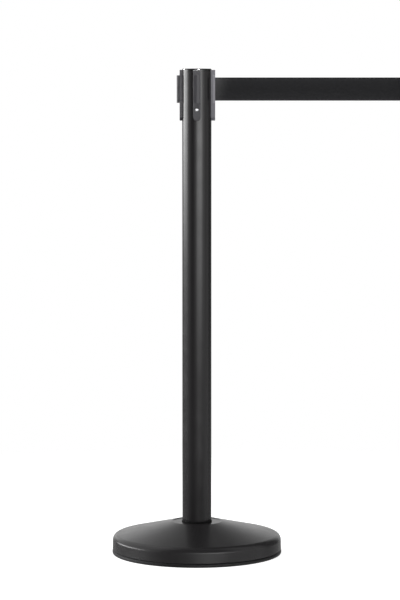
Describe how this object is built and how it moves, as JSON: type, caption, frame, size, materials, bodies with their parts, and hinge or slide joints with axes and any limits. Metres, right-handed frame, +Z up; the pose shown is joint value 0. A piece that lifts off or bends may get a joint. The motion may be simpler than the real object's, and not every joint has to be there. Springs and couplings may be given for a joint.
{
  "type": "retractable belt stanchion",
  "caption": "Black crowd-control post on a weighted cone base, with a belt drawn out of its head on a sprung spool and rails that take the belt clips of neighbouring posts.",
  "frame": {"origin": "centre of the base on the floor, on the post's axis", "axes": "+Z up along the post, +X the way the belt leaves the head, -Y the side with the front receiver"},
  "size_m": [0.6298, 0.3556, 1.016],
  "materials": {
    "tube_powder_coat": "black powder-coated steel tube, semi-gloss",
    "cover_powder_coat": "black powder-coated spun steel, satin",
    "weight_cast_iron": "as-cast grey iron",
    "floor_ring_rubber": "moulded black rubber, smooth",
    "gasket_rubber": "moulded black rubber, matt",
    "cap_plastic": "moulded black ABS, polished",
    "receiver_plastic": "moulded glass-filled nylon, satin charcoal",
    "guide_plastic": "moulded acetal, satin charcoal",
    "clip_plastic": "moulded black nylon, fine spark texture",
    "frame_plastic": "moulded nylon, unpolished",
    "belt_polyester": "woven black polyester webbing with bound edges",
    "zinc_plated_steel": "bright zinc plate",
    "plain_steel": "ground bright steel",
    "spring_steel": "blued spring steel",
    "bush_brass": "turned brass"
  },
  "bodies": {
    "post": {"floor_ring": "floor_ring_rubber", "base_weight": "weight_cast_iron", "base_cover": "cover_powder_coat", "post_gasket": "gasket_rubber", "foot_plug": "plain_steel", "base_washer": "zinc_plated_steel", "base_bolt": "zinc_plated_steel", "post_tube": "tube_powder_coat", "head_cap": "cap_plastic", "cap_seal_ring": "gasket_rubber", "receiver_front": "receiver_plastic", "receiver_left": "receiver_plastic", "receiver_back": "receiver_plastic", "belt_exit_plate": "receiver_plastic", "belt_exit_guide": "guide_plastic", "guide_pin_front": "plain_steel", "guide_pin_back": "plain_steel", "plate_screws": "zinc_plated_steel", "cassette_frame": "frame_plastic", "spring_lid": "frame_plastic", "cassette_top_plate": "plain_steel", "cassette_screws": "zinc_plated_steel", "lower_bush": "bush_brass", "upper_bush": "bush_brass", "retract_spring": "spring_steel", "belt_webbing": "belt_polyester"},
    "spool": {"spool_axle": "plain_steel", "axle_clip": "spring_steel", "spool_drum": "frame_plastic", "belt_roll": "belt_polyester"},
    "belt_end": {"clip_shell_front": "clip_plastic", "clip_shell_back": "clip_plastic", "clip_screws": "zinc_plated_steel", "belt_anchor_pin": "plain_steel", "latch_spring": "spring_steel"},
    "catch": {"clip_latch": "guide_plastic"}
  },
  "joints": [
    {"name": "belt_pull", "type": "slide", "parent": "post", "child": "belt_end", "axis": [1, 0, 0], "range_m": [-0.3914, 2.62], "stiffness_N_per_m": 1.4, "springref_m": -6, "deforming": ["belt_webbing"]},
    {"name": "spool_spin", "type": "hinge", "parent": "post", "child": "spool", "pos_m": [0, 0, 0.9733], "axis": [0, 0, 1], "range_deg": [-1460, 9710], "deforming": ["retract_spring", "belt_roll"]},
    {"name": "catch_slide", "type": "slide", "parent": "belt_end", "child": "catch", "axis": [1, 0, 0], "range_m": [-0.0024, 0], "stiffness_N_per_m": 400, "springref_m": 0.002, "deforming": ["latch_spring"]}
  ],
  "couplings": [
    {"joint": "spool_spin", "follows": "belt_pull", "rad_per_m": 64.6}
  ]
}
